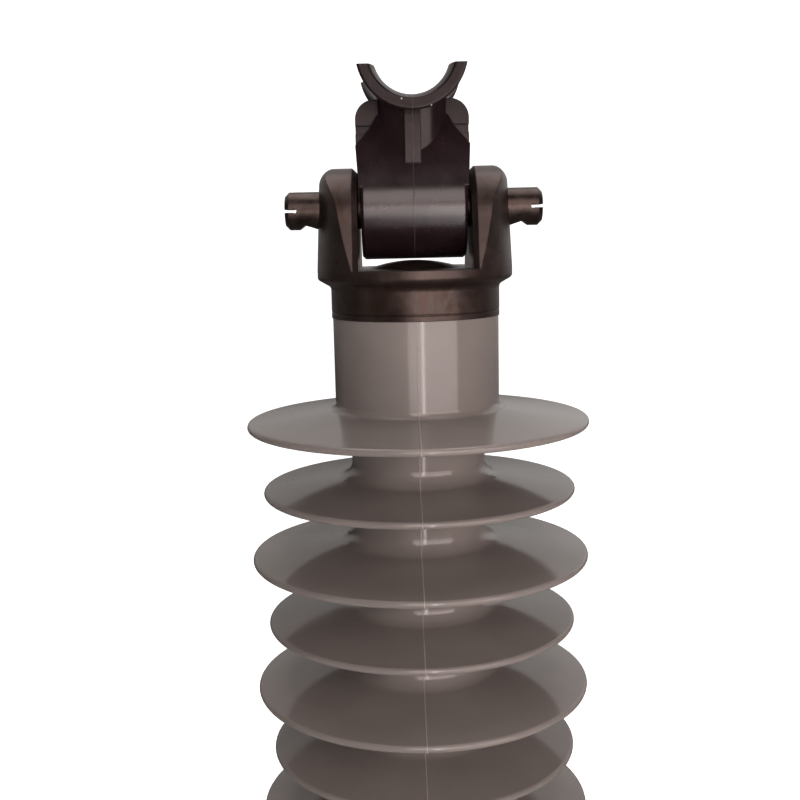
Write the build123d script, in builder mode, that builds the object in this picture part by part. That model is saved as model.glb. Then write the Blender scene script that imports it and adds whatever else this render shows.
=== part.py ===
"""Composite line post insulator with a pivoting conductor saddle, in millimetres.

A glass-fibre rod carries a grey silicone rubber housing whose sheds alternate in size. Each end
of the rod is crimped into a cast iron cap: a round foot with a tapped hole below, a fork with two
ears above. A moulded head swings on a pin between the ears and ends in a bell-mouthed saddle, so
that the groove can follow the slope of the conductor laid in it.

+Z is up along the rod, the origin is the centre of the foot's underside, the hinge pin lies
along X and the conductor along Y.
"""

import os
from math import cos, radians, sin, tan

from build123d import *

# ---- rod and housing -------------------------------------------------------------------------
ROD_R = 25.0
SHEATH_WALL = 4.5
SHED_COUNT = 11
SHED_PITCH = 30.0
LARGE_SHED_R = 75.0
SMALL_SHED_R = 69.0
SHED_RIM = 3.2  # thickness of a shed at its rim
SHED_TOP_SLOPE = 7.5  # degrees
SHED_UNDER_SLOPE = 2.5
SHED_TOP_FILLET = 7.0
SHED_UNDER_FILLET = 3.0
COLLAR_WALL = 3.5  # rubber moulded over the mouth of each cap
COLLAR_FILLET = 3.0
TOP_COLLAR = 39.6  # from the rubber's upper edge down to the first shed
FOOT_COLLAR = 45.0  # from the rubber's lower edge up to the last rim

# ---- caps ------------------------------------------------------------------------------------
SOCKET_WALL = 7.5
MOUTH_COVER = 4.0  # rubber beyond the mouth of each socket
SOCKET_FLOOR = 8.0  # metal between the rod's end and the tapped hole or the fork
NECK_SHOW = 13.2  # bare metal between the rubber and the foot or the platform
NECK_PROUD = 0.4  # the bare neck stands this much proud of the rubber
NECK_GROOVE_AT = 2.2  # turned groove round the upper neck, above the rubber's edge
NECK_GROOVE_WIDTH = 0.6
NECK_GROOVE_DEPTH = 0.5

FOOT_R = 46.0
FOOT_THICK = 12.0
FOOT_FILLET = 5.0
FOOT_EDGE = 1.5
STUD_HOLE_R = 10.5  # tapping size of an M24 thread
STUD_HOLE_DEPTH = 20.0

# ---- fork ------------------------------------------------------------------------------------
PLATFORM_THICK = 7.4
PLATFORM_RIM = 4.2  # the underside is coned from here in to the neck
PLATFORM_FILLET = 2.0
FORK_R = 42.0  # the fork is turned to this radius at the platform
FORK_TOP_R = 39.7  # and to this one at the pin
FORK_GAP = 47.0  # clear width between the ears
EAR_ABOVE_PIN = 17.4
EAR_ROUND = 7.5  # round over the outer top of each ear
EAR_TOP_R = 27.0  # side view of an ear's top
EAR_BASE_HALF = 32.8
EAR_INNER_CHAMFER = 2.2
PIN_ABOVE_PLATFORM = 25.0
DOME_BASE_R = 20.0
DOME_GAP = 0.6  # between the dome and the head's barrel

# ---- hinge pin -------------------------------------------------------------------------------
PIN_R = 8.0
PIN_LENGTH = 109.5
PIN_CHAMFER = 1.8
PIN_SLOT = 1.3
PIN_SLOT_DEPTH = 4.2
PIN_EYE_R = 1.0
PIN_NOTCH_FROM_END = 5.9
PIN_NOTCH_STEEP = 2.4  # length of the side nearer the pin's end
PIN_NOTCH_LENGTH = 8.4
PIN_NOTCH_DEPTH = 2.0
PIN_FIT = 0.02  # radial clearance in the ears
PIN_RUNNING = 0.08  # radial clearance in the barrel

# ---- head and saddle -------------------------------------------------------------------------
BARREL_R = 21.0
BARREL_SIDE_GAP = 1.4
BARREL_EDGE = 1.2
GROOVE_R = 15.5
SADDLE_WALL = 5.2
SADDLE_LENGTH = 58.0
SADDLE_MOUTH = 10.0  # length of each flared mouth
SADDLE_FLARE = 2.3
SADDLE_EDGE = 1.0
GROOVE_ABOVE_PIN = 60.5  # groove axis above the pin's axis
LIP_ABOVE_PIN = 56.0
STEM_HALF = (14.2, 11.9)  # half width and half depth of the oval stem
STEM_SPREAD = 1.3  # wider by this much at its top
STEM_FOOT_ABOVE_PIN = 15.0
STEM_TOP_ABOVE_PIN = 50.0
WEB_FOOT_ANGLE = 25.0  # where the web's face leaves the barrel, in degrees above its axis
WEB_TOP = (4.8, 38.5)  # out from the middle, above the pin
HEAD_HALF_WIDTH = 23.9
GABLE_FOOT_ABOVE_PIN = 26.0
GABLE_KNEE = (18.0, 33.0)
GABLE_TOP_HALF = 14.8
SHOULDER_ABOVE_PIN = 45.0
SHOULDER_THICK = 9.0
SHOULDER_ROUND = 8.0
SLOT_ABOVE_PIN = 32.7
SLOT_HEIGHT = 3.4
SLOT_WIDTH = 7.0
SLOT_FLOOR = 2.4  # wall left between the front slot and the back one
RIB_WIDTH = 6.6
RIB_PROUD = 3.4
RIB_FOOT_ABOVE_PIN = 18.3

# ---- derived sizes ---------------------------------------------------------------------------
TRUNK_R = ROD_R + SHEATH_WALL
SOCKET_R = ROD_R + SOCKET_WALL
COLLAR_R = SOCKET_R + COLLAR_WALL
NECK_R = COLLAR_R + NECK_PROUD
RUBBER_FOOT_Z = FOOT_THICK + NECK_SHOW
LAST_RIM_Z = RUBBER_FOOT_Z + FOOT_COLLAR
FIRST_RIM_Z = LAST_RIM_Z + (SHED_COUNT - 1) * SHED_PITCH
SHED_RISE = (LARGE_SHED_R - COLLAR_R) * tan(radians(SHED_TOP_SLOPE))
RUBBER_TOP_Z = FIRST_RIM_Z + SHED_RIM / 2 + SHED_RISE + TOP_COLLAR
PLATFORM_UNDER_Z = RUBBER_TOP_Z + NECK_SHOW
PLATFORM_Z = PLATFORM_UNDER_Z + PLATFORM_THICK
PIN_Z = PLATFORM_Z + PIN_ABOVE_PLATFORM
FOOT_SOCKET_Z = STUD_HOLE_DEPTH + SOCKET_FLOOR
FOOT_MOUTH_Z = LAST_RIM_Z - MOUTH_COVER
TOP_SOCKET_Z = PLATFORM_Z - SOCKET_FLOOR
TOP_MOUTH_Z = RUBBER_TOP_Z - TOP_COLLAR + MOUTH_COVER
BARREL_LENGTH = FORK_GAP - 2 * BARREL_SIDE_GAP
GROOVE_Z = PIN_Z + GROOVE_ABOVE_PIN
SADDLE_R = GROOVE_R + SADDLE_WALL
HEAD_FOOT_HALF = FORK_GAP / 2 - BARREL_SIDE_GAP


def shed_outline(rim_z, radius, root_r, under_r):
    """Points of one shed: upper root, upper rim, rim, under rim and lower root."""
    half = SHED_RIM / 2
    rim_r = radius - half
    top_root = (root_r, rim_z + half + (rim_r - root_r) * tan(radians(SHED_TOP_SLOPE)))
    under_root = (under_r, rim_z - half + (rim_r - under_r) * tan(radians(SHED_UNDER_SLOPE)))
    return top_root, (rim_r, rim_z + half), (radius, rim_z), (rim_r, rim_z - half), under_root


def build_core_rod():
    with BuildPart() as core_rod:
        with BuildSketch(Plane.XY.offset(FOOT_SOCKET_Z)):
            Circle(ROD_R)
        extrude(amount=TOP_SOCKET_Z - FOOT_SOCKET_Z)
    core_rod.part.label = "core_rod"
    return core_rod.part


def build_rubber_housing():
    """One moulding: a collar over each cap, the sheath on the rod and every shed."""
    roots = []
    with BuildPart() as rubber_housing:
        with BuildSketch(Plane.XZ) as section:
            with BuildLine():
                at = (COLLAR_R, RUBBER_TOP_Z)
                for index in range(SHED_COUNT):
                    first, last = index == 0, index == SHED_COUNT - 1
                    root, top, rim, under, foot = shed_outline(
                        FIRST_RIM_Z - index * SHED_PITCH,
                        LARGE_SHED_R if index % 2 == 0 else SMALL_SHED_R,
                        COLLAR_R if first else TRUNK_R,
                        COLLAR_R if last else TRUNK_R,
                    )
                    Polyline(at, root, top)
                    ThreePointArc(top, rim, under)
                    Line(under, foot)
                    roots.append((root, COLLAR_FILLET if first else SHED_TOP_FILLET))
                    roots.append((foot, SHED_UNDER_FILLET))
                    at = foot
                Polyline(
                    at,
                    (COLLAR_R, RUBBER_FOOT_Z),
                    (SOCKET_R, RUBBER_FOOT_Z),
                    (SOCKET_R, FOOT_MOUTH_Z),
                    (ROD_R, FOOT_MOUTH_Z),
                    (ROD_R, TOP_MOUTH_Z),
                    (SOCKET_R, TOP_MOUTH_Z),
                    (SOCKET_R, RUBBER_TOP_Z),
                    (COLLAR_R, RUBBER_TOP_Z),
                )
            make_face()
            for (radius, height), size in roots:
                corner = section.vertices().sort_by_distance((radius, height, 0))[0]
                fillet(corner, size)
        revolve(axis=Axis.Z)
    rubber_housing.part.label = "rubber_housing"
    return rubber_housing.part


def circles_at(part, radius, height):
    """The part's round edges of that radius at that height."""
    rings = part.edges().filter_by(GeomType.CIRCLE)
    return [e for e in rings if abs(e.radius - radius) < 0.01 and abs(e.center().Z - height) < 0.01]


def build_base_cap():
    """Round foot, bare neck and crimped socket, with a blind tapped hole for a stud."""
    with BuildPart() as base_cap:
        with BuildSketch(Plane.XZ):
            with BuildLine():
                Polyline(
                    (STUD_HOLE_R, 0),
                    (FOOT_R, 0),
                    (FOOT_R, FOOT_THICK),
                    (NECK_R, FOOT_THICK),
                    (NECK_R, RUBBER_FOOT_Z),
                    (SOCKET_R, RUBBER_FOOT_Z),
                    (SOCKET_R, FOOT_MOUTH_Z),
                    (ROD_R, FOOT_MOUTH_Z),
                    (ROD_R, FOOT_SOCKET_Z),
                    (0, FOOT_SOCKET_Z),
                    (0, STUD_HOLE_DEPTH),
                    (STUD_HOLE_R, STUD_HOLE_DEPTH),
                    close=True,
                )
            make_face()
        revolve(axis=Axis.Z)
        fillet(circles_at(base_cap, NECK_R, FOOT_THICK), FOOT_FILLET)
        chamfer(circles_at(base_cap, FOOT_R, 0) + circles_at(base_cap, FOOT_R, FOOT_THICK), FOOT_EDGE)
    base_cap.part.label = "base_cap"
    return base_cap.part


def build_fork_cap():
    """Crimped socket, neck, platform with a low dome and two ears, cast in one piece."""
    ear_top_z = PIN_Z + EAR_ABOVE_PIN
    with BuildPart() as ears:
        # Turned outside: a slight taper from the platform up, rounded over at the top.
        with BuildSketch(Plane.XZ) as turned:
            with BuildLine():
                Polyline(
                    (0, PLATFORM_UNDER_Z),
                    (NECK_R, PLATFORM_UNDER_Z),
                    (FORK_R, PLATFORM_Z - PLATFORM_RIM),
                    (FORK_R, PLATFORM_Z),
                    (FORK_TOP_R, ear_top_z),
                    (0, ear_top_z),
                    close=True,
                )
            make_face()
            fillet(turned.vertices().sort_by_distance((FORK_TOP_R, ear_top_z, 0))[0], EAR_ROUND)
            rim = (FORK_R, PLATFORM_Z - PLATFORM_RIM, 0)
            fillet(turned.vertices().sort_by_distance(rim)[0], PLATFORM_FILLET)
        revolve(axis=Axis.Z)
        # Side view: flanks lean in from the platform to a flat round top.
        with BuildSketch(Plane.YZ):
            with BuildLine():
                top_centre = ear_top_z - EAR_TOP_R
                lean = radians(12)
                touch = (EAR_TOP_R * cos(lean), top_centre + EAR_TOP_R * sin(lean))
                Polyline(
                    (-touch[0], touch[1]),
                    (-EAR_BASE_HALF, PLATFORM_Z),
                    (-FORK_R, PLATFORM_Z),
                    (-FORK_R, PLATFORM_UNDER_Z),
                    (FORK_R, PLATFORM_UNDER_Z),
                    (FORK_R, PLATFORM_Z),
                    (EAR_BASE_HALF, PLATFORM_Z),
                    touch,
                )
                ThreePointArc(touch, (0, ear_top_z), (-touch[0], touch[1]))
            make_face()
        extrude(amount=FORK_R, both=True, mode=Mode.INTERSECT)
        # The gap between the ears, open to the top.
        with BuildSketch(Plane.XZ):
            with Locations((0, (PLATFORM_Z + ear_top_z) / 2)):
                Rectangle(FORK_GAP, ear_top_z - PLATFORM_Z)
        extrude(amount=FORK_R, both=True, mode=Mode.SUBTRACT)
        # The ears' inner edges are chamfered all the way round, down to the platform.
        inner = [e for e in ears.edges() if abs(abs(e.center().X) - FORK_GAP / 2) < 0.01]
        chamfer([e for e in inner if e.center().Z > PLATFORM_Z + 1], EAR_INNER_CHAMFER)
    groove_z = RUBBER_TOP_Z + NECK_GROOVE_AT
    groove_r = NECK_R - NECK_GROOVE_DEPTH
    with BuildPart() as fork_cap:
        with BuildSketch(Plane.XZ):
            with BuildLine():
                Polyline(
                    (0, TOP_SOCKET_Z),
                    (ROD_R, TOP_SOCKET_Z),
                    (ROD_R, TOP_MOUTH_Z),
                    (SOCKET_R, TOP_MOUTH_Z),
                    (SOCKET_R, RUBBER_TOP_Z),
                    (NECK_R, RUBBER_TOP_Z),
                    (NECK_R, groove_z),
                    (groove_r, groove_z),
                    (groove_r, groove_z + NECK_GROOVE_WIDTH),
                    (NECK_R, groove_z + NECK_GROOVE_WIDTH),
                    (NECK_R, PLATFORM_UNDER_Z + PLATFORM_FILLET / 2),
                    (0, PLATFORM_UNDER_Z + PLATFORM_FILLET / 2),
                    close=True,
                )
            make_face()
        revolve(axis=Axis.Z)
        add(ears.part)
        # A low dome fills the middle of the gap, just clear of the barrel.
        dome_rise = PIN_ABOVE_PLATFORM - BARREL_R - DOME_GAP
        dome_r = (DOME_BASE_R**2 + dome_rise**2) / (2 * dome_rise)
        with BuildSketch(Plane.XZ):
            with BuildLine():
                crown = (0, PLATFORM_Z + dome_rise)
                brim = (DOME_BASE_R, PLATFORM_Z)
                RadiusArc(crown, brim, dome_r)
                Polyline(brim, (DOME_BASE_R, PLATFORM_UNDER_Z), (0, PLATFORM_UNDER_Z), crown)
            make_face()
        revolve(axis=Axis.Z)
        fillet(circles_at(fork_cap, NECK_R, PLATFORM_UNDER_Z), PLATFORM_FILLET)
        # Bore through both ears.
        with BuildSketch(Plane.YZ.offset(-FORK_R)):
            with Locations((0, PIN_Z)):
                Circle(PIN_R + PIN_FIT)
        extrude(amount=2 * FORK_R, mode=Mode.SUBTRACT)
    fork_cap.part.label = "fork_cap"
    return fork_cap.part


def build_hinge_pin():
    with BuildPart() as hinge_pin:
        with BuildSketch(Plane.YZ.offset(-PIN_LENGTH / 2)):
            with Locations((0, PIN_Z)):
                Circle(PIN_R)
        extrude(amount=PIN_LENGTH)
        chamfer(hinge_pin.edges().filter_by(GeomType.CIRCLE), PIN_CHAMFER)
        for side in (-1, 1):
            end = side * PIN_LENGTH / 2
            slot_mid = end - side * PIN_SLOT_DEPTH / 2
            with Locations((slot_mid, 0, PIN_Z)):
                Box(PIN_SLOT_DEPTH, 3 * PIN_R, PIN_SLOT, mode=Mode.SUBTRACT)
            with Locations((end - side * PIN_SLOT_DEPTH, 0, PIN_Z)):
                Cylinder(PIN_EYE_R, 3 * PIN_R, rotation=(90, 0, 0), mode=Mode.SUBTRACT)
            with BuildSketch(Plane.XZ):
                with BuildLine():
                    near = end - side * PIN_NOTCH_FROM_END
                    Polyline(
                        (near, PIN_Z - PIN_R),
                        (near - side * PIN_NOTCH_STEEP, PIN_Z - PIN_R + PIN_NOTCH_DEPTH),
                        (near - side * PIN_NOTCH_LENGTH, PIN_Z - PIN_R),
                        close=True,
                    )
                make_face()
            extrude(amount=PIN_R, both=True, mode=Mode.SUBTRACT)
    hinge_pin.part.label = "hinge_pin"
    return hinge_pin.part


def build_web():
    """Web between barrel and saddle: its faces lean in, and its upper corners are cut to a gable."""
    foot = radians(WEB_FOOT_ANGLE)
    side = [(BARREL_R * cos(foot), BARREL_R * sin(foot)), WEB_TOP]
    front = [
        (HEAD_FOOT_HALF, 0),
        (HEAD_HALF_WIDTH, GABLE_FOOT_ABOVE_PIN),
        GABLE_KNEE,
        (GABLE_TOP_HALF, WEB_TOP[1]),
    ]
    with BuildPart() as web:
        with BuildSketch(Plane.YZ.offset(-HEAD_HALF_WIDTH)):
            with BuildLine():
                right = [(out, PIN_Z + up) for out, up in side]
                left = [(-out, z) for out, z in reversed(right)]
                Polyline((BARREL_R / 2, PIN_Z), *right, *left, (-BARREL_R / 2, PIN_Z), close=True)
            make_face()
        extrude(amount=2 * HEAD_HALF_WIDTH)
        with BuildSketch(Plane.XZ):
            with BuildLine():
                right = [(out, PIN_Z + up) for out, up in front]
                left = [(-out, z) for out, z in reversed(right)]
                Polyline(*right, *left, close=True)
            make_face()
        extrude(amount=BARREL_R, both=True, mode=Mode.INTERSECT)
    return web.part


def build_shoulders():
    """Cross plate on the web, with a blind slot in the front and the back of each end."""
    foot_z = PIN_Z + GABLE_FOOT_ABOVE_PIN
    top_z = PIN_Z + SHOULDER_ABOVE_PIN
    slot_x = HEAD_HALF_WIDTH - SLOT_WIDTH / 2
    slot_z = PIN_Z + SLOT_ABOVE_PIN
    with BuildPart() as shoulders:
        with BuildSketch(Plane.XZ) as outline:
            with Locations((0, (top_z + foot_z) / 2)):
                Rectangle(2 * HEAD_HALF_WIDTH, top_z - foot_z)
            fillet(outline.vertices().group_by(Axis.Y)[-1], SHOULDER_ROUND)
        extrude(amount=SHOULDER_THICK / 2, both=True)
        for face in (Plane.XZ.offset(SLOT_FLOOR / 2), Plane.XZ.offset(-SHOULDER_THICK / 2)):
            with BuildSketch(face):
                with Locations((-slot_x, slot_z), (slot_x, slot_z)):
                    Rectangle(SLOT_WIDTH, SLOT_HEIGHT)
            extrude(amount=(SHOULDER_THICK - SLOT_FLOOR) / 2, mode=Mode.SUBTRACT)
    return shoulders.part


def flared(radius):
    """Outline from the groove's axis to a wall of that radius that flares at both mouths."""
    half = SADDLE_LENGTH / 2
    straight = half - SADDLE_MOUTH
    flare_r = (SADDLE_MOUTH**2 + SADDLE_FLARE**2) / (2 * SADDLE_FLARE)
    wall_z = GROOVE_Z - radius
    mouth_z = wall_z - SADDLE_FLARE
    with BuildSketch(Plane.YZ) as outline:
        with BuildLine():
            Line((-straight, wall_z), (straight, wall_z))
            RadiusArc((straight, wall_z), (half, mouth_z), flare_r)
            Polyline((half, mouth_z), (half, GROOVE_Z), (-half, GROOVE_Z), (-half, mouth_z))
            RadiusArc((-half, mouth_z), (-straight, wall_z), flare_r)
        make_face()
    return outline.sketch


def build_saddle_head():
    """Barrel, web, shoulders, stem and saddle, moulded in one piece."""
    web = build_web()
    shoulders = build_shoulders()
    groove_axis = Axis((0, 0, GROOVE_Z), (0, 1, 0))
    half = SADDLE_LENGTH / 2
    with BuildPart() as saddle_head:
        # Barrel on the pin.
        with BuildSketch(Plane.YZ.offset(-BARREL_LENGTH / 2)):
            with Locations((0, PIN_Z)):
                Circle(BARREL_R)
        extrude(amount=BARREL_LENGTH)
        chamfer(saddle_head.edges().filter_by(GeomType.CIRCLE), BARREL_EDGE)
        add(web)
        add(shoulders)
        # Oval stem, spreading to the saddle.
        with BuildSketch(Plane.XY.offset(PIN_Z + STEM_FOOT_ABOVE_PIN)):
            Ellipse(*STEM_HALF)
        with BuildSketch(Plane.XY.offset(PIN_Z + STEM_TOP_ABOVE_PIN)):
            Ellipse(*(size + STEM_SPREAD for size in STEM_HALF))
        loft()
        # A rib down the front and the back of the stem.
        with BuildSketch(Plane.XY.offset(PIN_Z + RIB_FOOT_ABOVE_PIN)):
            Rectangle(RIB_WIDTH, 2 * (STEM_HALF[1] + RIB_PROUD))
        extrude(amount=GROOVE_ABOVE_PIN - SADDLE_R - RIB_FOOT_ABOVE_PIN + SADDLE_WALL / 2)
        # The saddle's wall and groove, open above the lips.
        revolve(flared(SADDLE_R), axis=groove_axis)
        revolve(flared(GROOVE_R), axis=groove_axis, mode=Mode.SUBTRACT)
        with BuildSketch(Plane.XY.offset(PIN_Z + LIP_ABOVE_PIN)):
            Rectangle(3 * SADDLE_R, 2 * SADDLE_LENGTH)
        extrude(amount=2 * SADDLE_R, mode=Mode.SUBTRACT)
        mouths = saddle_head.edges().filter_by(GeomType.CIRCLE)
        fillet([e for e in mouths if abs(abs(e.center().Y) - half) < 0.01], SADDLE_EDGE)
        # Bore for the pin.
        with BuildSketch(Plane.YZ.offset(-HEAD_HALF_WIDTH)):
            with Locations((0, PIN_Z)):
                Circle(PIN_R + PIN_RUNNING)
        extrude(amount=2 * HEAD_HALF_WIDTH, mode=Mode.SUBTRACT)
    saddle_head.part.label = "saddle_head"
    return saddle_head.part


def main():
    os.makedirs("parts", exist_ok=True)
    for piece in (
        build_core_rod(),
        build_rubber_housing(),
        build_base_cap(),
        build_fork_cap(),
        build_hinge_pin(),
        build_saddle_head(),
    ):
        export_step(piece, f"parts/{piece.label}.step")


main()
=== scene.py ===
"""Composite line post insulator: finishes, parting lines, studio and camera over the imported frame.

Places in the scene are in metres. The insulator's own forms and finishes are in millimetres.
"""

import math

import bpy
from mathutils import Matrix, Vector


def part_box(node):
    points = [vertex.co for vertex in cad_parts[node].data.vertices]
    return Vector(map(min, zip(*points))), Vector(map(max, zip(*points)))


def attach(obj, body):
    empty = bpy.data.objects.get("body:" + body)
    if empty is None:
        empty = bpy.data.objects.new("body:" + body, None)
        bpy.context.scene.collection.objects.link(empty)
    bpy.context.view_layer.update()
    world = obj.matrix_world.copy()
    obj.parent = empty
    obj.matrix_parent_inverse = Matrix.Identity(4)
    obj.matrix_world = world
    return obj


MM = 0.001
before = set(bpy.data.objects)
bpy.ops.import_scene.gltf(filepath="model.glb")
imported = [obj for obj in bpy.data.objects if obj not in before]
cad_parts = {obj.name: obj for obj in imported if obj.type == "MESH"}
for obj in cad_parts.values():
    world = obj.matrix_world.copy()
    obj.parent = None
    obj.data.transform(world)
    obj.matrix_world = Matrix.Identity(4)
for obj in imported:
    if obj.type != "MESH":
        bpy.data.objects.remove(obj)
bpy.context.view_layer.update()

# ---- sizes of the housing, in millimetres ------------------------------------------------------
COLLAR_R = 36.0
TRUNK_R = 29.5
LARGE_R = 75.0
SMALL_R = 69.0
SHEDS = 11
SHED_PITCH = 30.0
FIRST_RIM = 370.2  # height of the middle of the first shed's rim
RIM_HALF = 1.6  # half of the rim's thickness
RIM_ROUND_TOP = 1.5
RIM_ROUND_UNDER = 1.45
TOP_SLOPE = math.radians(7.5)
UNDER_SLOPE = math.radians(2.5)
COLLAR_FILLET = 3.0
TRUNK_FILLET = 7.0
UNDER_FILLET = 3.0
ARC_STEPS = 8  # steps in each rounded corner

# ---- the trimmed flash on the housing, in millimetres ------------------------------------------
FLASH_PROUD = 0.16
# Its section, as (across, proud) points: a ridge whose sides run on into the rubber.
FLASH_SECTION = [(-0.4, -0.25), (-0.18, 0.05), (0.0, FLASH_PROUD), (0.18, 0.05), (0.4, -0.25)]
FLASH_REACH = LARGE_R - 0.02  # it is trimmed just inside the large rims

# ---- heights between which painted shade comes in on the head: its skin reflects less above them, in millimetres ---
PAINTED_SHADE_FROM = 474.0
PAINTED_SHADE_TO = 480.0

# ---- the camera --------------------------------------------------------------------------------
CAMERA_SPOT = Vector((-7.94 * MM, -480.0 * MM, 452.7 * MM))
CAMERA_PITCH = math.radians(10.2)
CAMERA_ROLL = math.radians(1.3)
CAMERA_LENS = 49.41
CAMERA_SHIFT = 0.0363


# ---- shader helpers ----------------------------------------------------------------------------
def rgb(text):
    """Linear RGBA from an sRGB hex colour."""
    values = [int(text[i : i + 2], 16) / 255 for i in (1, 3, 5)]
    return (*(v / 12.92 if v <= 0.04045 else ((v + 0.055) / 1.055) ** 2.4 for v in values), 1)


def new_material(name):
    material = bpy.data.materials.new(name)
    material.use_nodes = True
    material.node_tree.nodes.clear()
    return material


def node(tree, kind, links=None, **settings):
    """Adds one node. A setting that names a property sets it, any other sets an input."""
    made = tree.nodes.new("ShaderNode" + kind)
    plain = {k: v for k, v in settings.items() if hasattr(made, k)}
    for key, value in plain.items():
        setattr(made, key, value)
    for key, value in settings.items():
        if key not in plain:
            made.inputs[key.replace("_", " ")].default_value = value
    for key, source in (links or {}).items():
        tree.links.new(source, made.inputs[key])
    return made


def place(tree, scale=(1, 1, 1)):
    """Object coordinates in millimetres, optionally stretched."""
    coords = node(tree, "TexCoord").outputs["Object"]
    return node(tree, "Mapping", {"Vector": coords}, Scale=[s / MM for s in scale]).outputs[0]


def place_in_metres(tree):
    """Object coordinates in metres, taken apart into X, Y and Z."""
    return node(tree, "SeparateXYZ", {"Vector": place(tree, (MM, MM, MM))}).outputs


def noise(tree, where, size_mm, detail=3.0, rough=0.5, distortion=0.0):
    """Noise whose largest features are about size_mm across."""
    settings = {"Scale": 1 / size_mm, "Detail": detail, "Roughness": rough, "Distortion": distortion}
    return node(tree, "TexNoise", {"Vector": where}, **settings).outputs["Fac"]


def ramp(tree, value, *stops):
    """Maps a value through (position, number) stops."""
    made = node(tree, "ValToRGB", {"Fac": value})
    for element, (position, shade) in zip(made.color_ramp.elements, stops):
        element.position = position
        element.color = (shade, shade, shade, 1)
    return made.outputs["Color"]


def mix(tree, factor, low, high, blend="MIX"):
    """Mixes two colours, each a socket or a hex colour."""
    made = node(tree, "Mix", data_type="RGBA", blend_type=blend)
    for socket, value in ((made.inputs[0], factor), (made.inputs[6], low), (made.inputs[7], high)):
        if isinstance(value, str):
            socket.default_value = rgb(value)
        elif isinstance(value, (int, float)):
            socket.default_value = value
        else:
            tree.links.new(value, socket)
    return made.outputs[2]


def mottled(tree, pattern, low, high, dark, light):
    """Two colours blended by a pattern, from its value low to its value high."""
    return mix(tree, ramp(tree, pattern, (low, 0.0), (high, 1.0)), dark, light)


def specks(tree, where, spacing_mm, radius, patch_mm, thin, amount):
    """Mask of small round specks, kept only where a patch pattern is above a threshold."""
    cells = node(tree, "TexVoronoi", {"Vector": where}, Scale=1 / spacing_mm)
    dots = ramp(tree, cells.outputs["Distance"], (radius, 1.0), (radius + 0.025, 0.0))
    patches = ramp(tree, noise(tree, where, patch_mm, 1), (thin, 0.0), (thin + 0.04, amount))
    return mix(tree, 1.0, dots, patches, "MULTIPLY")


def bump(tree, height, depth_mm, normal=None):
    links = {"Height": height}
    if normal:
        links["Normal"] = normal
    return node(tree, "Bump", links, Strength=1.0, Distance=depth_mm * MM).outputs[0]


def soft_edge(tree, radius_mm):
    """Normal with edges rounded off by a small radius."""
    return node(tree, "Bevel", samples=4, Radius=radius_mm * MM).outputs[0]


def surface(tree, links, **values):
    shader = node(tree, "BsdfPrincipled", links, **values)
    node(tree, "OutputMaterial", {"Surface": shader.outputs[0]})


# ---- materials of the insulator ----------------------------------------------------------------
def silicone_rubber():
    """Grey silicone rubber from a polished mould: glossy, with a bloom that dulls it in patches."""
    material = new_material("silicone_rubber")
    tree = material.node_tree
    here = place(tree)
    bloom = noise(tree, here, 38, 4)
    skin = noise(tree, here, 2.2, 3)
    colour = mottled(tree, bloom, 0.3, 0.7, "#6c6865", "#75716e")
    colour = mix(tree, specks(tree, here, 3.5, 0.025, 9, 0.62, 0.7), colour, "#a39a97")
    rough = ramp(tree, bloom, (0.3, 0.10), (0.7, 0.15))
    links = {"Base Color": colour, "Roughness": rough, "Normal": bump(tree, skin, 0.002)}
    surface(tree, links, IOR=1.43)
    return material


def flash_with_painted_highlight():
    """Rubber flash cut off along the mould's parting line: matt, and paler than the moulded skin,
    partly as a painted highlight along the ridge.
    """
    material = new_material("flash_with_painted_highlight")
    tree = material.node_tree
    torn = noise(tree, place(tree), 1.5, 4)
    # The paler colour is partly the matt trimmed rubber and partly a painted highlight along the
    # ridge.
    colour = mottled(tree, torn, 0.35, 0.65, "#877f7d", "#9a9290")
    rough = ramp(tree, torn, (0.3, 0.35), (0.7, 0.6))
    links = {"Base Color": colour, "Roughness": rough, "Normal": bump(tree, torn, 0.02)}
    surface(tree, links, IOR=1.43)
    return material


def cast_iron():
    """Cast and coated iron: a satin skin over a cast surface, with warm stains in patches."""
    material = new_material("cast_iron")
    tree = material.node_tree
    here = place(tree)
    cast = noise(tree, here, 14, 5, 0.6, 0.4)
    grain = noise(tree, here, 1.1, 4)
    colour = mottled(tree, cast, 0.35, 0.7, "#2f2725", "#463c38")
    runs = noise(tree, place(tree, (1, 1, 0.5)), 9, 4, 0.6, 1.0)
    colour = mix(tree, ramp(tree, runs, (0.52, 0.0), (0.66, 0.75)), colour, "#35261e")
    rough = ramp(tree, cast, (0.3, 0.30), (0.7, 0.44))
    normal = bump(tree, grain, 0.05, bump(tree, cast, 0.22, soft_edge(tree, 0.6)))
    surface(tree, {"Base Color": colour, "Roughness": rough, "Normal": normal}, Metallic=0.75)
    return material


def turned_steel():
    """Turned dark steel: fine rings round the pin that stretch its highlights, satin, scuffed."""
    material = new_material("turned_steel")
    tree = material.node_tree
    rings = noise(tree, place(tree, (1, 0.02, 0.02)), 0.35, 2)
    scuffs = noise(tree, place(tree), 6, 4, 0.6, 0.5)
    colour = mottled(tree, scuffs, 0.35, 0.7, "#2b2422", "#4a403c")
    rough = ramp(tree, scuffs, (0.3, 0.24), (0.7, 0.42))
    normal = bump(tree, rings, 0.012, bump(tree, scuffs, 0.05, soft_edge(tree, 0.3)))
    surface(tree, {"Base Color": colour, "Roughness": rough, "Normal": normal}, Metallic=0.9)
    return material


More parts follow.
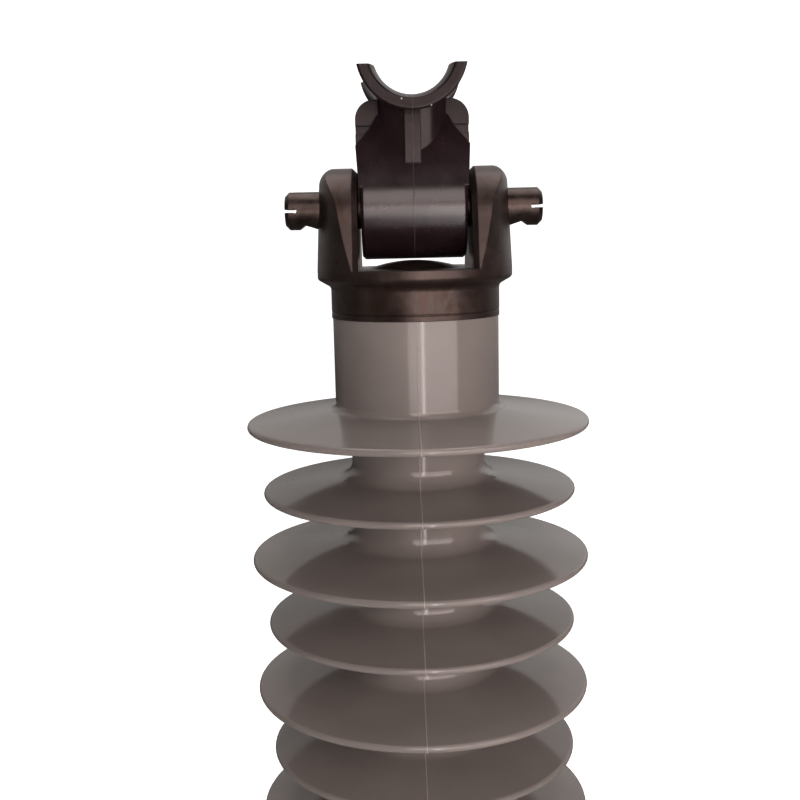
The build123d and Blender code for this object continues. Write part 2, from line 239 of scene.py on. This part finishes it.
def moulded_polymer():
    """Near-black polymer from a steel mould: semi-gloss, with a faint seam carrying a painted
    highlight, a few dust specks, and painted shade on its upper part.
    """
    material = new_material("moulded_polymer")
    tree = material.node_tree
    here = place(tree)
    cloud = noise(tree, here, 17, 4, 0.55, 0.6)
    wave = noise(tree, here, 12, 1)
    skin = noise(tree, here, 0.9, 3)
    colour = mottled(tree, cloud, 0.35, 0.7, "#170e10", "#20161a")
    colour = mix(tree, specks(tree, here, 5, 0.05, 11, 0.64, 0.8), colour, "#cfc8c4")
    where = node(tree, "SeparateXYZ", {"Vector": here})
    aside = node(tree, "Math", {0: where.outputs["X"]}, operation="ABSOLUTE").outputs[0]
    seam = ramp(tree, aside, (0.1, 1.0), (0.35, 0.0))
    # The seam's paler colour is a painted highlight along its ridge.
    colour = mix(tree, ramp(tree, seam, (0.0, 0.0), (1.0, 0.25)), colour, "#574a48")
    rough = ramp(tree, cloud, (0.3, 0.22), (0.7, 0.30))
    smooth = bump(tree, skin, 0.012, bump(tree, wave, 0.08, soft_edge(tree, 0.6)))
    # Above these heights the skin reflects less: painted shade that darkens the head's flat upper
    # faces.
    painted_shade_span = {"From_Min": PAINTED_SHADE_FROM, "From_Max": PAINTED_SHADE_TO}
    above = node(tree, "MapRange", {"Value": where.outputs["Z"]}, **painted_shade_span)
    links = {
        "Base Color": colour,
        "Roughness": rough,
        "Normal": bump(tree, seam, 0.03, smooth),
        "Specular IOR Level": ramp(tree, above.outputs[0], (0.0, 0.5), (1.0, 0.17)),
    }
    surface(tree, links, IOR=1.56)
    return material


def glass_fibre():
    """Glass fibre in epoxy: pale yellow-green, with fibres along the rod."""
    material = new_material("glass_fibre")
    tree = material.node_tree
    fibres = noise(tree, place(tree, (1, 1, 0.02)), 0.5, 3)
    colour = mottled(tree, fibres, 0.35, 0.65, "#b9ad72", "#d2c891")
    rough = ramp(tree, fibres, (0.3, 0.32), (0.7, 0.45))
    links = {"Base Color": colour, "Roughness": rough, "Normal": bump(tree, fibres, 0.03)}
    surface(tree, links, IOR=1.54)
    return material


def give(node_name, material):
    """Gives a CAD piece its material; its own smooth normals stay."""
    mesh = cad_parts[node_name].data
    mesh.materials.clear()
    mesh.materials.append(material)


# ---- meshes ------------------------------------------------------------------------------------
def add_mesh(name, points, faces, material, smooth=False):
    mesh = bpy.data.meshes.new(name)
    mesh.from_pydata(points, [], faces)
    mesh.update()
    mesh.polygons.foreach_set("use_smooth", [smooth] * len(mesh.polygons))
    mesh.materials.append(material)
    obj = bpy.data.objects.new(name, mesh)
    bpy.context.scene.collection.objects.link(obj)
    return obj


def ribbon_faces(rows, wide):
    """Faces of a grid of points that lie row by row, wide points to a row."""
    return [
        (a, a + 1, a + wide + 1, a + wide)
        for row in range(rows - 1)
        for a in range(row * wide, row * wide + wide - 1)
    ]


# ---- the parting lines of the housing ----------------------------------------------------------
def rounded(corners):
    """Points of an outline of (radius, height, rounding) corners, with each corner rounded off."""
    points = []
    for i, (r, z, size) in enumerate(corners):
        corner = Vector((r, z))
        if size == 0:
            points.append(corner)
            continue
        before = (Vector(corners[i - 1][:2]) - corner).normalized()
        after = (Vector(corners[i + 1][:2]) - corner).normalized()
        half = before.angle(after) / 2
        start = corner + before * (size / math.tan(half))
        centre = corner + (before + after).normalized() * (size / math.sin(half))
        sweep_by = math.pi - 2 * half
        if before.x * after.y - before.y * after.x > 0:
            sweep_by = -sweep_by
        for step in range(ARC_STEPS + 1):
            turn = Matrix.Rotation(sweep_by * step / ARC_STEPS, 2)
            points.append(centre + turn @ (start - centre))
    return points


def shed_corners(i):
    """Corners of shed i, from its root on the upper side to its root on the lower side."""
    rim_z = FIRST_RIM - SHED_PITCH * i
    rim_r = LARGE_R if i % 2 == 0 else SMALL_R
    root_r, root_fillet = (COLLAR_R, COLLAR_FILLET) if i == 0 else (TRUNK_R, TRUNK_FILLET)
    foot_r = COLLAR_R if i == SHEDS - 1 else TRUNK_R
    top = rim_z + RIM_HALF - RIM_HALF * math.tan(TOP_SLOPE)
    under = rim_z - RIM_HALF - RIM_HALF * math.tan(UNDER_SLOPE)
    return [
        (root_r, top + (rim_r - root_r) * math.tan(TOP_SLOPE), root_fillet),
        (rim_r, top, RIM_ROUND_TOP),
        (rim_r, under, RIM_ROUND_UNDER),
        (foot_r, under + (rim_r - foot_r) * math.tan(UNDER_SLOPE), UNDER_FILLET),
    ]


def housing_outline():
    """Outside of the housing from its upper edge to its lower one, in millimetres."""
    lowest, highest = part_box("rubber_housing")
    sheds = [corner for i in range(SHEDS) for corner in shed_corners(i)]
    return rounded([(COLLAR_R, highest.z / MM, 0), *sheds, (COLLAR_R, lowest.z / MM, 0)])


def parting_line(name, side):
    """Fine ridge of flash where the two halves of the mould met, down one side of the housing."""
    outline = housing_outline()
    points = []
    for i, here in enumerate(outline):
        along = outline[min(i + 1, len(outline) - 1)] - outline[max(i - 1, 0)]
        outward = Vector((-along.y, along.x)).normalized()
        for across, proud in FLASH_SECTION:
            r, z = here + outward * proud
            points.append((across * MM, side * min(r, FLASH_REACH) * MM, z * MM))
    obj = add_mesh(name, points, ribbon_faces(len(outline), len(FLASH_SECTION)), flash, smooth=True)
    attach(obj, "insulator")


flash = flash_with_painted_highlight()
iron = cast_iron()
give("core_rod", glass_fibre())
give("rubber_housing", silicone_rubber())
give("base_cap", iron)
give("fork_cap", iron)
give("hinge_pin", turned_steel())
give("saddle_head", moulded_polymer())
parting_line("parting_line_front", -1)
parting_line("parting_line_back", 1)


# ---- studio ------------------------------------------------------------------------------------
def studio_white():
    """Matt white of the set, with a glow behind the object that fades forwards and upwards."""
    material = new_material("sweep_white")
    tree = material.node_tree
    colour = mix(tree, noise(tree, place(tree), 900, 2), "#f4f3f2", "#f8f8f7")
    where = place_in_metres(tree)
    far = ramp(tree, where["Y"], (0.0, 0.0), (0.35, 1.0))
    height = node(tree, "MapRange", {"Value": where["Z"]}, From_Max=2.0).outputs[0]
    low = ramp(tree, height, (0.62, 1.0), (0.7, 0.1))
    glow = mix(tree, 1.0, colour, mix(tree, 1.0, far, low, "MULTIPLY"), "MULTIPLY")
    links = {"Base Color": colour, "Emission Color": glow}
    surface(tree, links, Roughness=0.9, Emission_Strength=0.8)
    return material


def dim_room():
    """What gloss mirrors from behind the set: light above, dim low down and dimmest on the left."""
    material = new_material("room_beyond")
    tree = material.node_tree
    where = place_in_metres(tree)
    high = node(tree, "MapRange", {"Value": where["Z"]}, From_Min=0.2, From_Max=0.65).outputs[0]
    side = node(tree, "MapRange", {"Value": where["X"]}, From_Min=-0.3, From_Max=0.7).outputs[0]
    low = mix(tree, side, "#2e2c2b", "#767271")
    glow = mix(tree, high, low, mix(tree, side, "#bab6b3", "#ece9e7"))
    black = rgb("#000000")
    surface(tree, {"Emission Color": glow}, Base_Color=black, Roughness=1.0, Emission_Strength=1.0)
    return material


def sweep(half_width=4.0, front=-4.0, curve_starts=2.0, curve_radius=0.8, top=4.0):
    """Floor that curves up into a back wall."""
    angles = [math.radians(d) for d in range(0, 91, 10)]
    profile = [(front, 0)]
    for a in angles:
        profile.append((curve_starts + curve_radius * math.sin(a), curve_radius * (1 - math.cos(a))))
    profile.append((curve_starts + curve_radius, top))
    points = [(x, y, z) for y, z in profile for x in (-half_width, half_width)]
    return add_mesh("sweep", points, ribbon_faces(len(profile), 2), studio_white(), smooth=True)


def room_wall(half_width=2.4, y=1.5, height=2.4):
    """Wall behind the object that only its gloss sees."""
    left, right = -half_width, half_width
    points = [(left, y, 0), (right, y, 0), (right, y, height), (left, y, height)]
    obj = add_mesh("room_wall", points, [(0, 1, 2, 3)], dim_room())
    obj.visible_camera = obj.visible_diffuse = obj.visible_shadow = False
    return obj


def softbox(name, spot, aim, size, watts, tint="#fff6f4"):
    light = bpy.data.lights.new(name, "AREA")
    light.shape = "RECTANGLE"
    light.size, light.size_y = size
    light.energy = watts
    light.color = rgb(tint)[:3]
    obj = bpy.data.objects.new(name, light)
    obj.location = spot
    obj.rotation_euler = (Vector(aim) - Vector(spot)).to_track_quat("-Z", "Y").to_euler()
    bpy.context.scene.collection.objects.link(obj)


def pale_world():
    """A pale world shows behind the set; only a little of it lights the object."""
    world = bpy.data.worlds.new("studio")
    world.use_nodes = True
    tree = world.node_tree
    seen = node(tree, "LightPath").outputs["Is Camera Ray"]
    strength = node(tree, "MapRange", {"Value": seen}, To_Min=0.11, To_Max=0.9).outputs[0]
    sky = tree.nodes["Background"]
    sky.inputs["Color"].default_value = rgb("#fff4f2")
    tree.links.new(strength, sky.inputs["Strength"])
    return world


def add_camera():
    """Camera in front of the head, tilted down and rolled a little."""
    right = Vector((1, 0, 0))
    up = Vector((0, math.sin(CAMERA_PITCH), math.cos(CAMERA_PITCH)))
    back = Vector((0, -math.cos(CAMERA_PITCH), math.sin(CAMERA_PITCH)))
    rolled_right = right * math.cos(CAMERA_ROLL) - up * math.sin(CAMERA_ROLL)
    rolled_up = right * math.sin(CAMERA_ROLL) + up * math.cos(CAMERA_ROLL)
    axes = Matrix((rolled_right, rolled_up, back)).transposed().to_4x4()
    lens = bpy.data.cameras.new("camera")
    lens.lens = CAMERA_LENS
    lens.sensor_width = 36
    lens.shift_y = CAMERA_SHIFT
    lens.clip_start = 0.01
    camera = bpy.data.objects.new("camera", lens)
    camera.matrix_world = Matrix.Translation(CAMERA_SPOT) @ axes
    bpy.context.scene.collection.objects.link(camera)
    return camera


backdrop = sweep()
backdrop.visible_glossy = False  # gloss mirrors the room wall instead
room_wall()
softbox("top_light", (0, 0.3, 2.0), (0, 0, 0.4), size=(1.4, 1.4), watts=18)
softbox("strip_light", (0.075, -0.56, 0.24), (0, 0, 0.24), size=(0.03, 0.45), watts=0.48)
softbox("front_panel", (0.24, -0.6, 0.375), (0, 0, 0.375), size=(0.85, 0.23), watts=2.1)
softbox("band_light", (0.24, -0.6, 0.48), (0, 0, 0.48), size=(0.85, 0.09), watts=3.2, tint="#ffe3dd")
softbox("upper_panel", (0.05, -1.4, 1.2), (0, 0, 0.46), size=(0.6, 0.84), watts=6, tint="#fff1ec")
bpy.context.scene.world = pale_world()
bpy.context.scene.view_settings.view_transform = "Standard"
bpy.context.scene.camera = add_camera()
